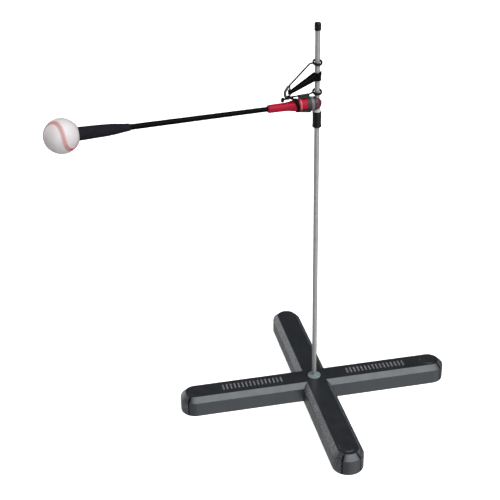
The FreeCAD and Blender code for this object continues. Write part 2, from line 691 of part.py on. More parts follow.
def make_ball_end():
    """Foam sleeve, and the ball with its core, cover and rod ferrule."""
    ball_face = BALL_REACH - BALL_RADIUS
    tail = (FOAM_CURVE[0][0], rod_radius(FOAM_CURVE[0][0]))
    foam_edge = (BALL_REACH - math.sqrt(BALL_RADIUS**2 - FOAM_EDGE**2) - 0.3, FOAM_EDGE)
    foam_bore = (ball_face - 0.4, rod_radius(ball_face - 0.4))
    foam = turned_on_arm([
        [tail, FOAM_CURVE[0]],
        FOAM_CURVE,
        [FOAM_CURVE[-1], foam_edge],
        [foam_edge, foam_bore],
        [foam_bore, tail],
    ])
    save_on_arm("foam_sleeve", foam)
    centre = Vector(BALL_REACH, 0, HUB_Z)
    ferrule_start = ball_face + LEATHER + 1.0
    ferrule = turned_on_arm(corners_to_runs([
        (ferrule_start, rod_radius(ferrule_start)),
        (ferrule_start, FERRULE_RADIUS),
        (ROD_END + FERRULE_CUP, FERRULE_RADIUS),
        (ROD_END + FERRULE_CUP, 0),
        (ROD_END, 0),
        (ROD_END, rod_radius(ROD_END)),
    ]))
    rod_space = turned_on_arm(corners_to_runs([
        (ball_face - 2, 0),
        (ball_face - 2, rod_radius(ball_face)),
        (ROD_END, ROD_RADIUS_BALL),
        (ROD_END, 0),
    ]))
    core = Part.makeSphere(BALL_RADIUS - LEATHER, centre)
    cover = Part.makeSphere(BALL_RADIUS, centre).cut(core)
    save_on_arm("rod_ferrule", ferrule)
    save_on_arm("ball_core", core.cut(ferrule).cut(rod_space))
    save_on_arm("ball_cover", cover.cut(rod_space))


os.makedirs("parts", exist_ok=True)
make_base()
make_pole()
make_carriage()
make_swivel_core()
make_bracket()
make_strut()
make_strap()
make_hub()
make_arm()
make_ball_end()
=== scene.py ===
"""Looks for a cross-base batting tee: a steel pole, a swivelling arm and a ball on its end."""

import json
import math

import bmesh
import bpy
from mathutils import Euler, Matrix, Vector, noise
from mathutils.kdtree import KDTree


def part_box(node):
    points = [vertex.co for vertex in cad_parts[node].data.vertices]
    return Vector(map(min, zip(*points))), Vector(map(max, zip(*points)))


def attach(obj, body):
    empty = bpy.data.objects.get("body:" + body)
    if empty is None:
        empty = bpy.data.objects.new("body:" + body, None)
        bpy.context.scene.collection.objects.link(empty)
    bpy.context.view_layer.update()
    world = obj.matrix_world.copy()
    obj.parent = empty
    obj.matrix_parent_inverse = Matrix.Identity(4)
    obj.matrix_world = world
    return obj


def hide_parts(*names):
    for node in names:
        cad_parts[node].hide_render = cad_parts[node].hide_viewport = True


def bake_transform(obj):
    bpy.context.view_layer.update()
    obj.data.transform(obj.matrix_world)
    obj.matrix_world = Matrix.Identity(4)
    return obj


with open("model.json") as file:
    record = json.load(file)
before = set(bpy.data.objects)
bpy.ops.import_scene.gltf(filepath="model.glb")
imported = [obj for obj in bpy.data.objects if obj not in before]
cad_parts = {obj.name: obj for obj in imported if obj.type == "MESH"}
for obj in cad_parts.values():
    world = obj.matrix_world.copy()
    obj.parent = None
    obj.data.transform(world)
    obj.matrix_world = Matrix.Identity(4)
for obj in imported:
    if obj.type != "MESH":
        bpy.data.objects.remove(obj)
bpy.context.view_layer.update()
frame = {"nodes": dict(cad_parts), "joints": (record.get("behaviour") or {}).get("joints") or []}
NODES = frame["nodes"]
MM = 0.001

# The arm's own directions: along it, away from the pole, and across it, towards the front.
UP = Vector((0, 0, 1))
FLEX_AXIS = Vector(next(j["axis"] for j in frame["joints"] if j["name"] == "arm_flex"))
ALONG = UP.cross(FLEX_AXIS).normalized()
ACROSS = UP.cross(ALONG)


def middle(node):
    low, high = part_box(node)
    return (low + high) / 2


def half_height(node):
    low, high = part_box(node)
    return (high.z - low.z) / 2


HUB_HEIGHT = middle("arm_sleeve").z
BALL_CENTRE = middle("ball_cover")
BALL_RADIUS = half_height("ball_cover")


def on_arm(along, across, height):
    """The point that far along and across the arm, all in metres, at that height above the floor."""
    return ALONG * along + ACROSS * across + UP * height


def arm_place(point):
    """How far along the arm a point lies."""
    return Vector(point).dot(ALONG)


# ---------------------------------------------------------------- camera

CAMERA_PLACE = (-0.54672, -1.99723, 1.47813)
CAMERA_YAW = 0.194942
CAMERA_PITCH = 0.482576
CAMERA_ROLL = 0.022939
SENSOR = 36.0
FOCAL_LENGTH = 73.526


def make_camera():
    data = bpy.data.cameras.new("camera")
    data.sensor_width = SENSOR
    data.lens = FOCAL_LENGTH
    data.clip_start = 0.05
    data.clip_end = 200
    camera = bpy.data.objects.new("camera", data)
    bpy.context.scene.collection.objects.link(camera)
    turn = Matrix.Rotation(-CAMERA_YAW, 4, "Z")
    tilt = Matrix.Rotation(math.radians(90) - CAMERA_PITCH, 4, "X")
    roll = Matrix.Rotation(-CAMERA_ROLL, 4, "Z")
    camera.matrix_world = Matrix.Translation(CAMERA_PLACE) @ turn @ tilt @ roll
    bpy.context.scene.camera = camera


make_camera()

# ---------------------------------------------------------------- light and floor

# Soft boxes in the world: direction, radiance, and the angles in degrees where each starts to
# fade and where it ends.
SOFT_BOXES = [
    ((0.26, -0.55, 0.79), 3.0, 24, 46),
    ((-0.60, 0.78, 0.20), 1.1, 16, 34),
    ((0.45, -0.75, -0.48), 0.5, 15, 45),
]
HORIZON_RADIANCE = 0.45
HORIZON_TOP = math.sin(math.radians(16))
SKY_RADIANCE = 0.06
GROUND_RADIANCE = 0.40
# The back right of the studio is hung with black cloth.
CLOTH_DIRECTION = Vector((0.6, 0.8, 0.0))
CLOTH_SHADE = 0.08
CLOTH_FADE = (0.5, 0.85)
FLOOR_GREY = 0.93
FLOOR_GLOW = 0.75
FLOOR_HALF_SIZE = 60.0
BACKDROP_RADIUS = 55.0
RANGE_SOCKETS = ("From Min", "From Max", "To Min", "To Max")


def make_world():
    """A dark studio with large soft boxes, a pale band round the horizon and a grey ground."""
    world = bpy.data.worlds.new("studio")
    world.use_nodes = True
    tree = world.node_tree
    nodes, links = tree.nodes, tree.links
    direction = nodes.new("ShaderNodeTexCoord").outputs["Generated"]

    def fade(value, start, end, at_start, at_end, style="SMOOTHSTEP"):
        node = nodes.new("ShaderNodeMapRange")
        node.interpolation_type = style
        for name, number in zip(RANGE_SOCKETS, (start, end, at_start, at_end)):
            node.inputs[name].default_value = number
        links.new(value, node.inputs["Value"])
        return node.outputs["Result"]

    def towards(middle):
        node = nodes.new("ShaderNodeVectorMath")
        node.operation = "DOT_PRODUCT"
        node.inputs[1].default_value = middle
        links.new(direction, node.inputs[0])
        return node.outputs["Value"]

    def combine(operation, first, second):
        node = nodes.new("ShaderNodeMath")
        node.operation = operation
        links.new(first, node.inputs[0])
        links.new(second, node.inputs[1])
        return node.outputs["Value"]

    split = nodes.new("ShaderNodeSeparateXYZ")
    links.new(direction, split.inputs[0])
    height = split.outputs["Z"]
    sky = fade(height, HORIZON_TOP * 0.4, HORIZON_TOP * 1.4, HORIZON_RADIANCE, SKY_RADIANCE)
    around = nodes.new("ShaderNodeMix")
    around.inputs["A"].default_value = GROUND_RADIANCE
    links.new(fade(height, -HORIZON_TOP, 0, 0, 1), around.inputs["Factor"])
    links.new(sky, around.inputs["B"])
    shade = fade(towards(CLOTH_DIRECTION), *CLOTH_FADE, 1, CLOTH_SHADE)
    total = combine("MULTIPLY", around.outputs["Result"], shade)
    for place, radiance, inner, outer in SOFT_BOXES:
        edge, core = math.cos(math.radians(outer)), math.cos(math.radians(inner))
        box = fade(towards(Vector(place).normalized()), edge, core, 0, radiance, "SMOOTHERSTEP")
        total = combine("ADD", total, box)
    background = nodes["Background"]
    background.inputs["Color"].default_value = (1, 1, 1, 1)
    links.new(total, background.inputs["Strength"])
    bpy.context.scene.world = world


def glowing_white(name, mesh, grey, glow):
    """A glowing white stage piece that lights nothing and isn't mirrored in the object."""
    piece = bpy.data.objects.new(name, mesh)
    bpy.context.scene.collection.objects.link(piece)
    piece.visible_diffuse = False
    piece.visible_glossy = False
    white = bpy.data.materials.new(name + "_white")
    white.use_nodes = True
    shader = white.node_tree.nodes["Principled BSDF"]
    shader.inputs["Base Color"].default_value = (grey, grey, grey, 1)
    shader.inputs["Roughness"].default_value = 1
    shader.inputs["Specular IOR Level"].default_value = 0
    shader.inputs["Emission Color"].default_value = (1, 1, 1, 1)
    shader.inputs["Emission Strength"].default_value = glow
    mesh.materials.append(white)
    return piece


def make_floor():
    mesh = bpy.data.meshes.new("floor")
    corners = [(-1, -1), (1, -1), (1, 1), (-1, 1)]
    places = [(x * FLOOR_HALF_SIZE, y * FLOOR_HALF_SIZE, 0) for x, y in corners]
    mesh.from_pydata(places, [], [range(4)])
    floor = glowing_white("floor", mesh, FLOOR_GREY, FLOOR_GLOW)


def make_backdrop():
    """A plain white dome that only the camera sees, so that no low view looks past the floor's edge."""
    bm = bmesh.new()
    bmesh.ops.create_icosphere(bm, subdivisions=4, radius=BACKDROP_RADIUS)
    mesh = bpy.data.meshes.new("backdrop")
    bm.to_mesh(mesh)
    bm.free()
    backdrop = glowing_white("backdrop", mesh, 0, 1)
    backdrop.visible_transmission = False
    backdrop.visible_shadow = False


make_world()
make_floor()
make_backdrop()
bpy.context.scene.view_settings.view_transform = "Standard"


# ---------------------------------------------------------------- material building

class Finish:
    """A node material under construction round one Principled shader, in the object's metres."""

    def __init__(self, name, colour, roughness, metallic=0.0):
        self.material = bpy.data.materials.new(name)
        self.material.use_nodes = True
        self.nodes = self.material.node_tree.nodes
        self.links = self.material.node_tree.links
        self.shader = self.nodes["Principled BSDF"]
        self.shader.inputs["Base Color"].default_value = (*colour, 1)
        self.shader.inputs["Roughness"].default_value = roughness
        self.shader.inputs["Metallic"].default_value = metallic
        self.colour = colour
        self.roughness = roughness
        self.place = self.nodes.new("ShaderNodeTexCoord").outputs["Object"]
        self.normal = None

    def set(self, **sockets):
        for name, value in sockets.items():
            self.shader.inputs[name.replace("_", " ")].default_value = value

    def stretched(self, factors):
        """The place, scaled on each axis, so that a pattern on it runs along the smallest factor."""
        return self.vector_maths("MULTIPLY", self.place, factors)

    def cloud(self, size, detail=3.0, place=None, warp=0.0):
        """Soft noise from 0 to 1, with blobs about size metres across."""
        texture = self.nodes.new("ShaderNodeTexNoise")
        texture.inputs["Scale"].default_value = 1 / size
        texture.inputs["Detail"].default_value = detail
        texture.inputs["Distortion"].default_value = warp
        self.links.new(place or self.place, texture.inputs["Vector"])
        return texture.outputs["Fac"]

    def cells(self, size, feature="F1"):
        """Distances within cells about size metres across."""
        texture = self.nodes.new("ShaderNodeTexVoronoi")
        texture.feature = feature
        texture.inputs["Scale"].default_value = 1 / size
        self.links.new(self.place, texture.inputs["Vector"])
        return texture.outputs["Distance"]

    def spread(self, value, low, high, to_low=0.0, to_high=1.0):
        """value from low to high, turned into to_low to to_high and held there beyond."""
        node = self.nodes.new("ShaderNodeMapRange")
        for name, number in zip(RANGE_SOCKETS, (low, high, to_low, to_high)):
            node.inputs[name].default_value = number
        self.links.new(value, node.inputs["Value"])
        return node.outputs["Result"]

    def joined(self, operation, first, second):
        """Two values put together by a Math node. Either may be a number."""
        node = self.nodes.new("ShaderNodeMath")
        node.operation = operation
        for socket, value in zip(node.inputs, (first, second)):
            if isinstance(value, (int, float)):
                socket.default_value = value
            else:
                self.links.new(value, socket)
        return node.outputs["Value"]

    def paint(self, mask, colour):
        """Lays colour over what is there, where mask is 1."""
        node = self.nodes.new("ShaderNodeMix")
        node.data_type = "RGBA"
        base = self.shader.inputs["Base Color"]
        if base.is_linked:
            self.links.new(base.links[0].from_socket, node.inputs["A"])
        else:
            node.inputs["A"].default_value = (*self.colour, 1)
        node.inputs["B"].default_value = (*colour, 1)
        self.links.new(mask, node.inputs["Factor"])
        self.links.new(node.outputs["Result"], base)

    def vary_roughness(self, value, low, high, rough_low, rough_high):
        rough = self.spread(value, low, high, rough_low, rough_high)
        self.links.new(rough, self.shader.inputs["Roughness"])

    def parts_of(self, vector):
        """The X, Y and Z of a vector."""
        split = self.nodes.new("ShaderNodeSeparateXYZ")
        self.links.new(vector, split.inputs[0])
        return split.outputs

    def vector_maths(self, operation, vector, other=None):
        """A Vector Math node over a vector, and over a fixed one where the operation takes two."""
        node = self.nodes.new("ShaderNodeVectorMath")
        node.operation = operation
        self.links.new(vector, node.inputs[0])
        if other is not None:
            node.inputs[1].default_value = other
        return node.outputs["Value" if operation == "DOT_PRODUCT" else "Vector"]

    def world_normal(self):
        return self.nodes.new("ShaderNodeNewGeometry").outputs["Normal"]

    def raise_by(self, height, depth, strength=1.0):
        """Adds relief: height from 0 to 1 stands depth metres proud."""
        bump = self.nodes.new("ShaderNodeBump")
        bump.inputs["Strength"].default_value = strength
        bump.inputs["Distance"].default_value = depth
        self.links.new(height, bump.inputs["Height"])
        if self.normal:
            self.links.new(self.normal, bump.inputs["Normal"])
        self.normal = bump.outputs["Normal"]
        self.links.new(self.normal, self.shader.inputs["Normal"])

    def edges(self, reach):
        """From 0 on flat faces to about 1 on outer and inner edges, reach metres wide."""
        bevel = self.nodes.new("ShaderNodeBevel")
        bevel.samples = 6
        bevel.inputs["Radius"].default_value = reach
        facing = self.nodes.new("ShaderNodeVectorMath")
        facing.operation = "DOT_PRODUCT"
        self.links.new(bevel.outputs["Normal"], facing.inputs[0])
        self.links.new(self.world_normal(), facing.inputs[1])
        return self.spread(facing.outputs["Value"], 0.995, 0.9)


def lighter(colour, factor):
    return tuple(min(1.0, c * factor) for c in colour)


def moulded_plastic(name, colour, roughness, grain=0.7 * MM, depth=0.05 * MM, wear=1.6, gloss=0.5):
    """Moulded plastic: pebbled grain, faint flow marks, polished high spots and rubbed edges."""
    finish = Finish(name, colour, roughness)
    finish.set(Specular_IOR_Level=gloss)
    flow = finish.cloud(60 * MM, 4, warp=1.2)
    finish.paint(finish.spread(flow, 0.35, 0.7, 0, 0.5), lighter(colour, 1.35))
    edges = finish.edges(1.2 * MM)
    rubbed = finish.joined("MULTIPLY", edges, finish.spread(finish.cloud(5 * MM), 0.4, 0.65))
    finish.paint(finish.joined("MULTIPLY", rubbed, 0.6), lighter(colour, wear))
    finish.vary_roughness(finish.cloud(22 * MM, 5), 0.3, 0.7, roughness - 0.07, roughness + 0.07)
    finish.raise_by(finish.cells(grain, "SMOOTH_F1"), depth)
    finish.raise_by(finish.cloud(90 * MM, 1), 0.5 * MM, 0.5)
    return finish


# The base's round ends carry a mould seam, painted only, where faces that look along the beams' two
# directions meet: a near-black line, the seam deepened into painted shade, and on the faces that look
# more along X than Y a coarse speckle that is partly grain and partly a painted sheen. The rest stay
# smooth.
PAINTED_SHADING_DIRECTION = Vector((0.80, -0.60, 0))
SHADE_LINE_HALF_WIDTH = 0.065
SHADE_LINE_COLOUR = (0.002, 0.002, 0.002)
BASE_COLOUR = (0.0185, 0.0205, 0.0235)
SPECKLE_SHEEN_COLOUR = (0.20, 0.205, 0.22)
RUBBED_RIB_COLOUR = (0.26, 0.265, 0.28)
BEAM_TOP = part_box("base_beam_upper")[1].z


def base_plastic():
    """Blow moulded base: charcoal, its sideways faces speckled with grain and a painted sheen, a
    painted shade line on its round ends, rubbed bright on its ribs.
    """
    finish = moulded_plastic("base_finish", BASE_COLOUR, 0.36, gloss=0.95)
    finish.set(Specular_Tint=(0.90, 0.96, 1.0, 1))
    facing = finish.vector_maths("ABSOLUTE", finish.world_normal())
    upright = finish.spread(finish.parts_of(facing)["Z"], 0.97, 0.90)
    offset = finish.vector_maths("DOT_PRODUCT", facing, PAINTED_SHADING_DIRECTION)
    # Faces looking more along X than Y get a lighter speckle: partly grain, partly a painted sheen.
    sheen_side = finish.joined("MULTIPLY", finish.spread(offset, 0.0, 0.05), upright)
    speckle_sheen = finish.spread(finish.cloud(2.6 * MM, 2), 0.45, 0.62, 0, 0.6)
    finish.paint(finish.joined("MULTIPLY", sheen_side, speckle_sheen), SPECKLE_SHEEN_COLOUR)
    # A near-black line of painted shade where the faces turn from looking along X to along Y; linking
    # it to Metallic kills its reflection.
    near = finish.joined("ABSOLUTE", offset, 0)
    shade_line = finish.spread(near, SHADE_LINE_HALF_WIDTH, SHADE_LINE_HALF_WIDTH * 0.5, 0, 0.8)
    shade_line = finish.joined("MULTIPLY", shade_line, upright)
    finish.paint(shade_line, SHADE_LINE_COLOUR)
    finish.links.new(shade_line, finish.shader.inputs["Metallic"])
    height = finish.parts_of(finish.place)["Z"]
    proud = finish.spread(height, BEAM_TOP + 0.1 * MM, BEAM_TOP + 0.5 * MM)
    worn = finish.spread(finish.cloud(3 * MM, 3), 0.30, 0.60, 0.35, 1.0)
    finish.paint(finish.joined("MULTIPLY", proud, worn), RUBBED_RIB_COLOUR)
    return finish


def smooth_plastic(name, colour, roughness, sheen_tint=1.25, gloss=0.5):
    """Glossy moulded plastic, with shallow sink marks and hairline scuffs."""
    finish = Finish(name, colour, roughness)
    finish.set(Specular_IOR_Level=gloss)
    clouds = finish.spread(finish.cloud(14 * MM, 3), 0.35, 0.7, 0, 0.6)
    finish.paint(clouds, lighter(colour, sheen_tint))
    scratch = finish.cloud(0.5 * MM, 2, finish.stretched((0.06, 1, 1)), 0.4)
    fine = finish.spread(scratch, 0.58, 0.72)
    finish.paint(finish.joined("MULTIPLY", fine, 0.18), lighter(colour, 2.0))
    haze = finish.joined("ADD", finish.cloud(9 * MM, 4), finish.joined("MULTIPLY", fine, 0.3))
    finish.vary_roughness(haze, 0.3, 0.9, roughness - 0.05, roughness + 0.16)
    finish.raise_by(finish.cloud(11 * MM, 1), 0.10 * MM, 0.6)
    finish.raise_by(finish.cloud(0.6 * MM, 2), 0.006 * MM, 0.6)
    return finish


def rubber(name, colour, roughness, gloss=0.3):
    """Soft black rubber or vinyl: satin, a little dusty in its hollows."""
    finish = Finish(name, colour, roughness)
    finish.set(Specular_IOR_Level=gloss)
    finish.paint(finish.spread(finish.cloud(7 * MM, 5), 0.42, 0.75, 0, 0.55), lighter(colour, 1.9))
    finish.vary_roughness(finish.cloud(4 * MM, 4), 0.3, 0.7, roughness - 0.06, roughness + 0.1)
    finish.raise_by(finish.cloud(0.45 * MM, 3), 0.03 * MM, 0.7)
    finish.raise_by(finish.cloud(8 * MM, 1), 0.15 * MM, 0.5)
    return finish


def metal(name, colour, roughness, lengthwise=(1, 1, 0.02), streak=0.35 * MM, stain=0.7, bare=1.0):
    """Plated metal with drawing lines along one axis and dull patches, chalky where bare is below 1."""
    finish = Finish(name, colour, roughness, metallic=bare)
    lines = finish.cloud(streak, 3, finish.stretched(lengthwise))
    dull = finish.cloud(16 * MM, 5, warp=0.6)
    finish.paint(finish.spread(lines, 0.35, 0.65, 0, 0.35), lighter(colour, 0.78))
    finish.paint(finish.spread(dull, 0.5, 0.78, 0, 0.5), lighter(colour, stain))
    half_lines = finish.joined("MULTIPLY", lines, 0.5)
    mixed = finish.joined("ADD", half_lines, finish.joined("MULTIPLY", dull, 0.5))
    finish.vary_roughness(mixed, 0.35, 0.65, roughness - 0.06, roughness + 0.12)
    finish.raise_by(lines, 0.008 * MM, 0.6)
    return finish


def fibreglass():
    """Pultruded black rod: long pale fibres just under a satin skin."""
    colour = (0.0012, 0.0010, 0.0012)
    finish = Finish("rod_finish", colour, 0.36)
    finish.set(Specular_IOR_Level=0.05)
    along_x = finish.stretched((0.018, 1, 1))
    fibres = finish.cloud(0.55 * MM, 4, along_x, 0.2)
    finish.paint(finish.spread(fibres, 0.5, 0.72, 0, 0.7), (0.0075, 0.0060, 0.0050))
    finish.vary_roughness(fibres, 0.3, 0.7, 0.28, 0.48)
    finish.raise_by(fibres, 0.03 * MM, 0.7)
    return finish


def foam_rubber():
    """Closed-cell foam: bluish black, thousands of small open pores, no gloss."""
    colour = (0.0065, 0.0060, 0.0095)
    finish = Finish("foam_finish", colour, 0.82)
    finish.set(Specular_IOR_Level=0.12)
    pores = finish.cells(0.75 * MM)
    walls = finish.spread(pores, 0.2, 0.65)
    finish.paint(finish.joined("MULTIPLY", walls, 0.7), (0.0165, 0.0155, 0.0225))
    finish.paint(finish.spread(finish.cloud(24 * MM, 4), 0.45, 0.75, 0, 0.35), (0.021, 0.020, 0.028))
    finish.vary_roughness(finish.cloud(12 * MM, 3), 0.3, 0.7, 0.72, 0.9)
    finish.raise_by(walls, 0.16 * MM)
    finish.raise_by(finish.cloud(5 * MM, 2), 0.25 * MM, 0.6)
    return finish


def ball_leather():
    """White horsehide: fine creased grain, faint ivory clouds, a little dirt along the seam."""
    colour = (0.72, 0.69, 0.70)
    finish = Finish("leather_finish", colour, 0.42)
    ivory = finish.spread(finish.cloud(18 * MM, 4, warp=0.8), 0.4, 0.7, 0, 0.6)
    finish.paint(ivory, (0.64, 0.60, 0.605))
    creases = finish.cells(0.9 * MM, "DISTANCE_TO_EDGE")
    grain = finish.spread(creases, 0.02, 0.22)
    finish.paint(finish.spread(creases, 0.07, 0.0, 0, 0.25), (0.46, 0.43, 0.40))
    seam = finish.nodes.new("ShaderNodeAttribute")
    seam.attribute_name = "seam"
    finish.paint(finish.joined("MULTIPLY", seam.outputs["Fac"], 0.75), (0.50, 0.33, 0.31))
    finish.vary_roughness(finish.cloud(10 * MM, 4), 0.3, 0.7, 0.36, 0.5)
    finish.raise_by(grain, 0.035 * MM, 0.8)
    finish.raise_by(finish.cloud(6 * MM, 2), 0.08 * MM, 0.6)
    return finish


def waxed_thread():
    """Red waxed cotton thread with its twist."""
    colour = (0.50, 0.045, 0.055)
    finish = Finish("thread_finish", colour, 0.5)
    twist = finish.cloud(0.35 * MM, 2, finish.stretched((1, 0.4, 1)), 0.5)
    finish.paint(finish.spread(twist, 0.4, 0.65), (0.62, 0.12, 0.12))
    finish.vary_roughness(twist, 0.3, 0.7, 0.42, 0.6)
    finish.raise_by(twist, 0.08 * MM)
    return finish


def sand():
    """Loose ballast, seen only if the base is cut open."""
    finish = Finish("sand_finish", (0.42, 0.33, 0.22), 0.95)
    grains = finish.cells(0.8 * MM)
    finish.paint(finish.spread(grains, 0.1, 0.6), (0.58, 0.48, 0.34))
    finish.raise_by(grains, 0.4 * MM)
    return finish


FINISHES = {
    "base_plastic": base_plastic(),
    "sand": sand(),
    "socket_metal": metal("socket_finish", (0.40, 0.41, 0.42), 0.42),
    "foot_disc": smooth_plastic("disc_finish", (0.19, 0.235, 0.25), 0.55, 1.1, 0.4),
    "pole_steel": metal("pole_finish", (0.46, 0.46, 0.455), 0.30, bare=0.55),
    "black_rubber": rubber("sleeve_finish", (0.0012, 0.0012, 0.0014), 0.22, 0.32),
    "cap_plastic": moulded_plastic(
        "filler_cap_finish", (0.0170, 0.0180, 0.0200), 0.42, 0.5 * MM, gloss=0.8
    ),
    "seal_rubber": rubber("seal_finish", (0.010, 0.010, 0.010), 0.62),
    "white_nylon": smooth_plastic("nylon_finish", (0.62, 0.60, 0.60), 0.42, 0.88),
    "pin_steel": metal("pin_finish", (0.16, 0.16, 0.165), 0.30),
    "wire_steel": metal("wire_finish", (0.022, 0.024, 0.025), 0.36, (0.1, 1, 0.1)),
    "grip_vinyl": rubber("grip_finish", (0.075, 0.075, 0.078), 0.40, 0.4),
    "pad_rubber": rubber("pad_finish", (0.017, 0.024, 0.021), 0.55),
    "strut_plastic": smooth_plastic("strut_finish", (0.0010, 0.0010, 0.0012), 0.20, gloss=0.07),
    "hub_plastic": smooth_plastic("hub_finish", (0.022, 0.031, 0.028), 0.42, gloss=0.35),
    "end_cap_plastic": moulded_plastic("end_cap_finish", (0.085, 0.014, 0.030), 0.42, 0.5 * MM),
    # The ring's light grey, beside the dark collar, is a painted highlight along the collar's edge.
    "hub_ring": smooth_plastic("hub_ring_highlight_finish", (0.125, 0.112, 0.123), 0.34, 1.6, 0.5),
    "red_plastic": smooth_plastic("red_finish", (0.37, 0.0045, 0.026), 0.34, 1.15, 0.14),
    # The lip's pink is the red plastic lightened: a painted highlight for the light caught on the
    # raised lip.
    "pink_plastic": smooth_plastic("lip_painted_highlight_finish", (0.50, 0.085, 0.12), 0.34, 1.15, 0.4),
    "strap_rubber": rubber("strap_finish", (0.0075, 0.0020, 0.0014), 0.45, 0.06),
    "rod_fibreglass": fibreglass(),
    "foam": foam_rubber(),
    "ball_core": rubber("core_finish", (0.12, 0.05, 0.04), 0.7),
    "ball_leather": ball_leather(),
    "stitch_thread": waxed_thread(),
}


def dress_cad_nodes():
    """Gives every CAD node the finish of its record slot."""
    for node in NODES.values():
        for place in node.material_slots:
            place.material = FINISHES[place.material.name].material


dress_cad_nodes()


# ---------------------------------------------------------------- mesh building

def new_piece(name, mesh, slot, body=None):
    piece = bpy.data.objects.new(name, mesh)
    bpy.context.scene.collection.objects.link(piece)
    mesh.materials.clear()
    mesh.materials.append(FINISHES[slot].material)
    for face in mesh.polygons:
        face.use_smooth = True
    if body:
        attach(piece, body)
    return piece


def mesh_of(bm, name):
    bmesh.ops.recalc_face_normals(bm, faces=bm.faces)
    mesh = bpy.data.meshes.new(name)
    bm.to_mesh(mesh)
    bm.free()
    return mesh


def ring_of(bm, centre, side, up, width, height, count, squareness=2.0):
    """A closed loop of vertices. squareness 2 is an ellipse, and more is nearer a rounded box."""
    loop = []
    for i in range(count):
        angle = 2 * math.pi * i / count
        c, s = math.cos(angle), math.sin(angle)
        c = math.copysign(abs(c) ** (2 / squareness), c)
        s = math.copysign(abs(s) ** (2 / squareness), s)
        loop.append(bm.verts.new(centre + side * (width * c) + up * (height * s)))
    return loop


def join_loops(bm, first, second):
    count = len(first)
    for i in range(count):
        j = (i + 1) % count
        bm.faces.new((first[i], first[j], second[j], second[i]))


def close_end(bm, loop, centre):
    tip = bm.verts.new(centre)
    for i in range(len(loop)):
        bm.faces.new((loop[i], loop[(i + 1) % len(loop)], tip))


def smooth_path(points, steps):
    """Points along a centripetal curve through the given ones."""
    ends = [points[0] * 2 - points[1]] + list(points) + [points[-1] * 2 - points[-2]]
    path = []
    for p0, p1, p2, p3 in zip(ends, ends[1:], ends[2:], ends[3:]):
        for i in range(steps):
            t = i / steps
            path.append(
                0.5 * (
                    2 * p1
                    + (p2 - p0) * t
                    + (2 * p0 - 5 * p1 + 4 * p2 - p3) * t * t
                    + (3 * p1 - p0 - 3 * p2 + p3) * t ** 3
                )
            )
    path.append(points[-1].copy())
    return path


def swept(bm, path, up, width, height, count=16, squareness=2.0):
    """A closed bar along the path. width and height are functions of the share of the way along."""
    loops = []
    for i, point in enumerate(path):
        ahead = (path[min(i + 1, len(path) - 1)] - path[max(i - 1, 0)]).normalized()
        side = ahead.cross(up).normalized()
        share = i / (len(path) - 1)
        size = (width(share), height(share))
        loops.append(ring_of(bm, point, side, side.cross(ahead), *size, count, squareness))
    for first, second in zip(loops, loops[1:]):
        join_loops(bm, first, second)
    close_end(bm, loops[0], path[0])
    close_end(bm, loops[-1], path[-1])


# ---------------------------------------------------------------- ball

SEAM_WAVE = 0.20
SEAM_TURN = Euler([math.radians(a) for a in (-18.27, 0.34, 5.21)], "XYZ").to_matrix()
STITCH_PAIRS = 108
STITCH_REACH = 4.5 * MM
STITCH_LEAD = 2.1 * MM
THREAD_RADIUS = 0.60 * MM
STITCH_HEIGHT = 0.62 * MM
GROOVE_DEPTH = 0.42 * MM
GROOVE_HALF_WIDTH = 0.6 * MM
LIP_HEIGHT = 0.22 * MM
LIP_PLACE = 1.5 * MM
PUCKER_DEPTH = 0.22 * MM
COVER_THICKNESS = 1.5 * MM
LIP_HALF_WIDTH = 1.1 * MM
PUCKER_HALF_WIDTH = 0.7 * MM
RIPPLE_DEPTH = 0.05 * MM
DIRT_HALF_WIDTH = 0.9 * MM
HOLE_DIRT_HALF_WIDTH = 0.6 * MM
SEAM_POINTS = 2400
# The cover's mesh is refined twice, each time this near the seam.
REFINED_REACHES = (6.5 * MM, 5.0 * MM)
STITCH_STEPS = 7
# A stitch follows this much of half a sine wave, and leans forward most at its hole.
STITCH_ARC_START = 0.06
STITCH_ARC = 0.86
STITCH_CURL = 1.2
STITCH_SINK = 0.28 * MM
FERRULE_GAP = 0.1 * MM
FERRULE_RADIUS = (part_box("rod_ferrule")[1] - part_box("rod_ferrule")[0]).z / 2


def seam_point(t):
    """The seam's curve on a unit ball, turned as it lies on this one."""
    a, b = 1 - SEAM_WAVE, SEAM_WAVE
    x = a * math.cos(t) + b * math.cos(3 * t)
    y = a * math.sin(t) - b * math.sin(3 * t)
    z = 2 * math.sqrt(a * b) * math.sin(2 * t)
    return SEAM_TURN @ Vector((x, y, z)).normalized()


def even_seam(count):
    """count points spread evenly by length round the seam."""
    fine = 4000
    points = [seam_point(2 * math.pi * i / fine) for i in range(fine + 1)]
    lengths = [0.0]
    for first, second in zip(points, points[1:]):
        lengths.append(lengths[-1] + (second - first).length)
    even, at = [], 0
    for i in range(count):
        target = lengths[-1] * i / count
        while lengths[at + 1] < target:
            at += 1
        share = (target - lengths[at]) / (lengths[at + 1] - lengths[at])
        even.append(points[at].lerp(points[at + 1], share))
    return [p.normalized() for p in even]


def nearest_tree(points):
    tree = KDTree(len(points))
    for i, point in enumerate(points):
        tree.insert(point, i)
    tree.balance()
    return tree


def stitch_frames():
    """Each stitch pair's place on the unit ball, with the directions along and across the seam."""
    points = even_seam(STITCH_PAIRS)
    frames = []
    for i, point in enumerate(points):
        ahead = points[(i + 1) % STITCH_PAIRS] - points[i - 1]
        ahead = (ahead - point * ahead.dot(point)).normalized()
        frames.append((point, ahead, point.cross(ahead)))
    return frames


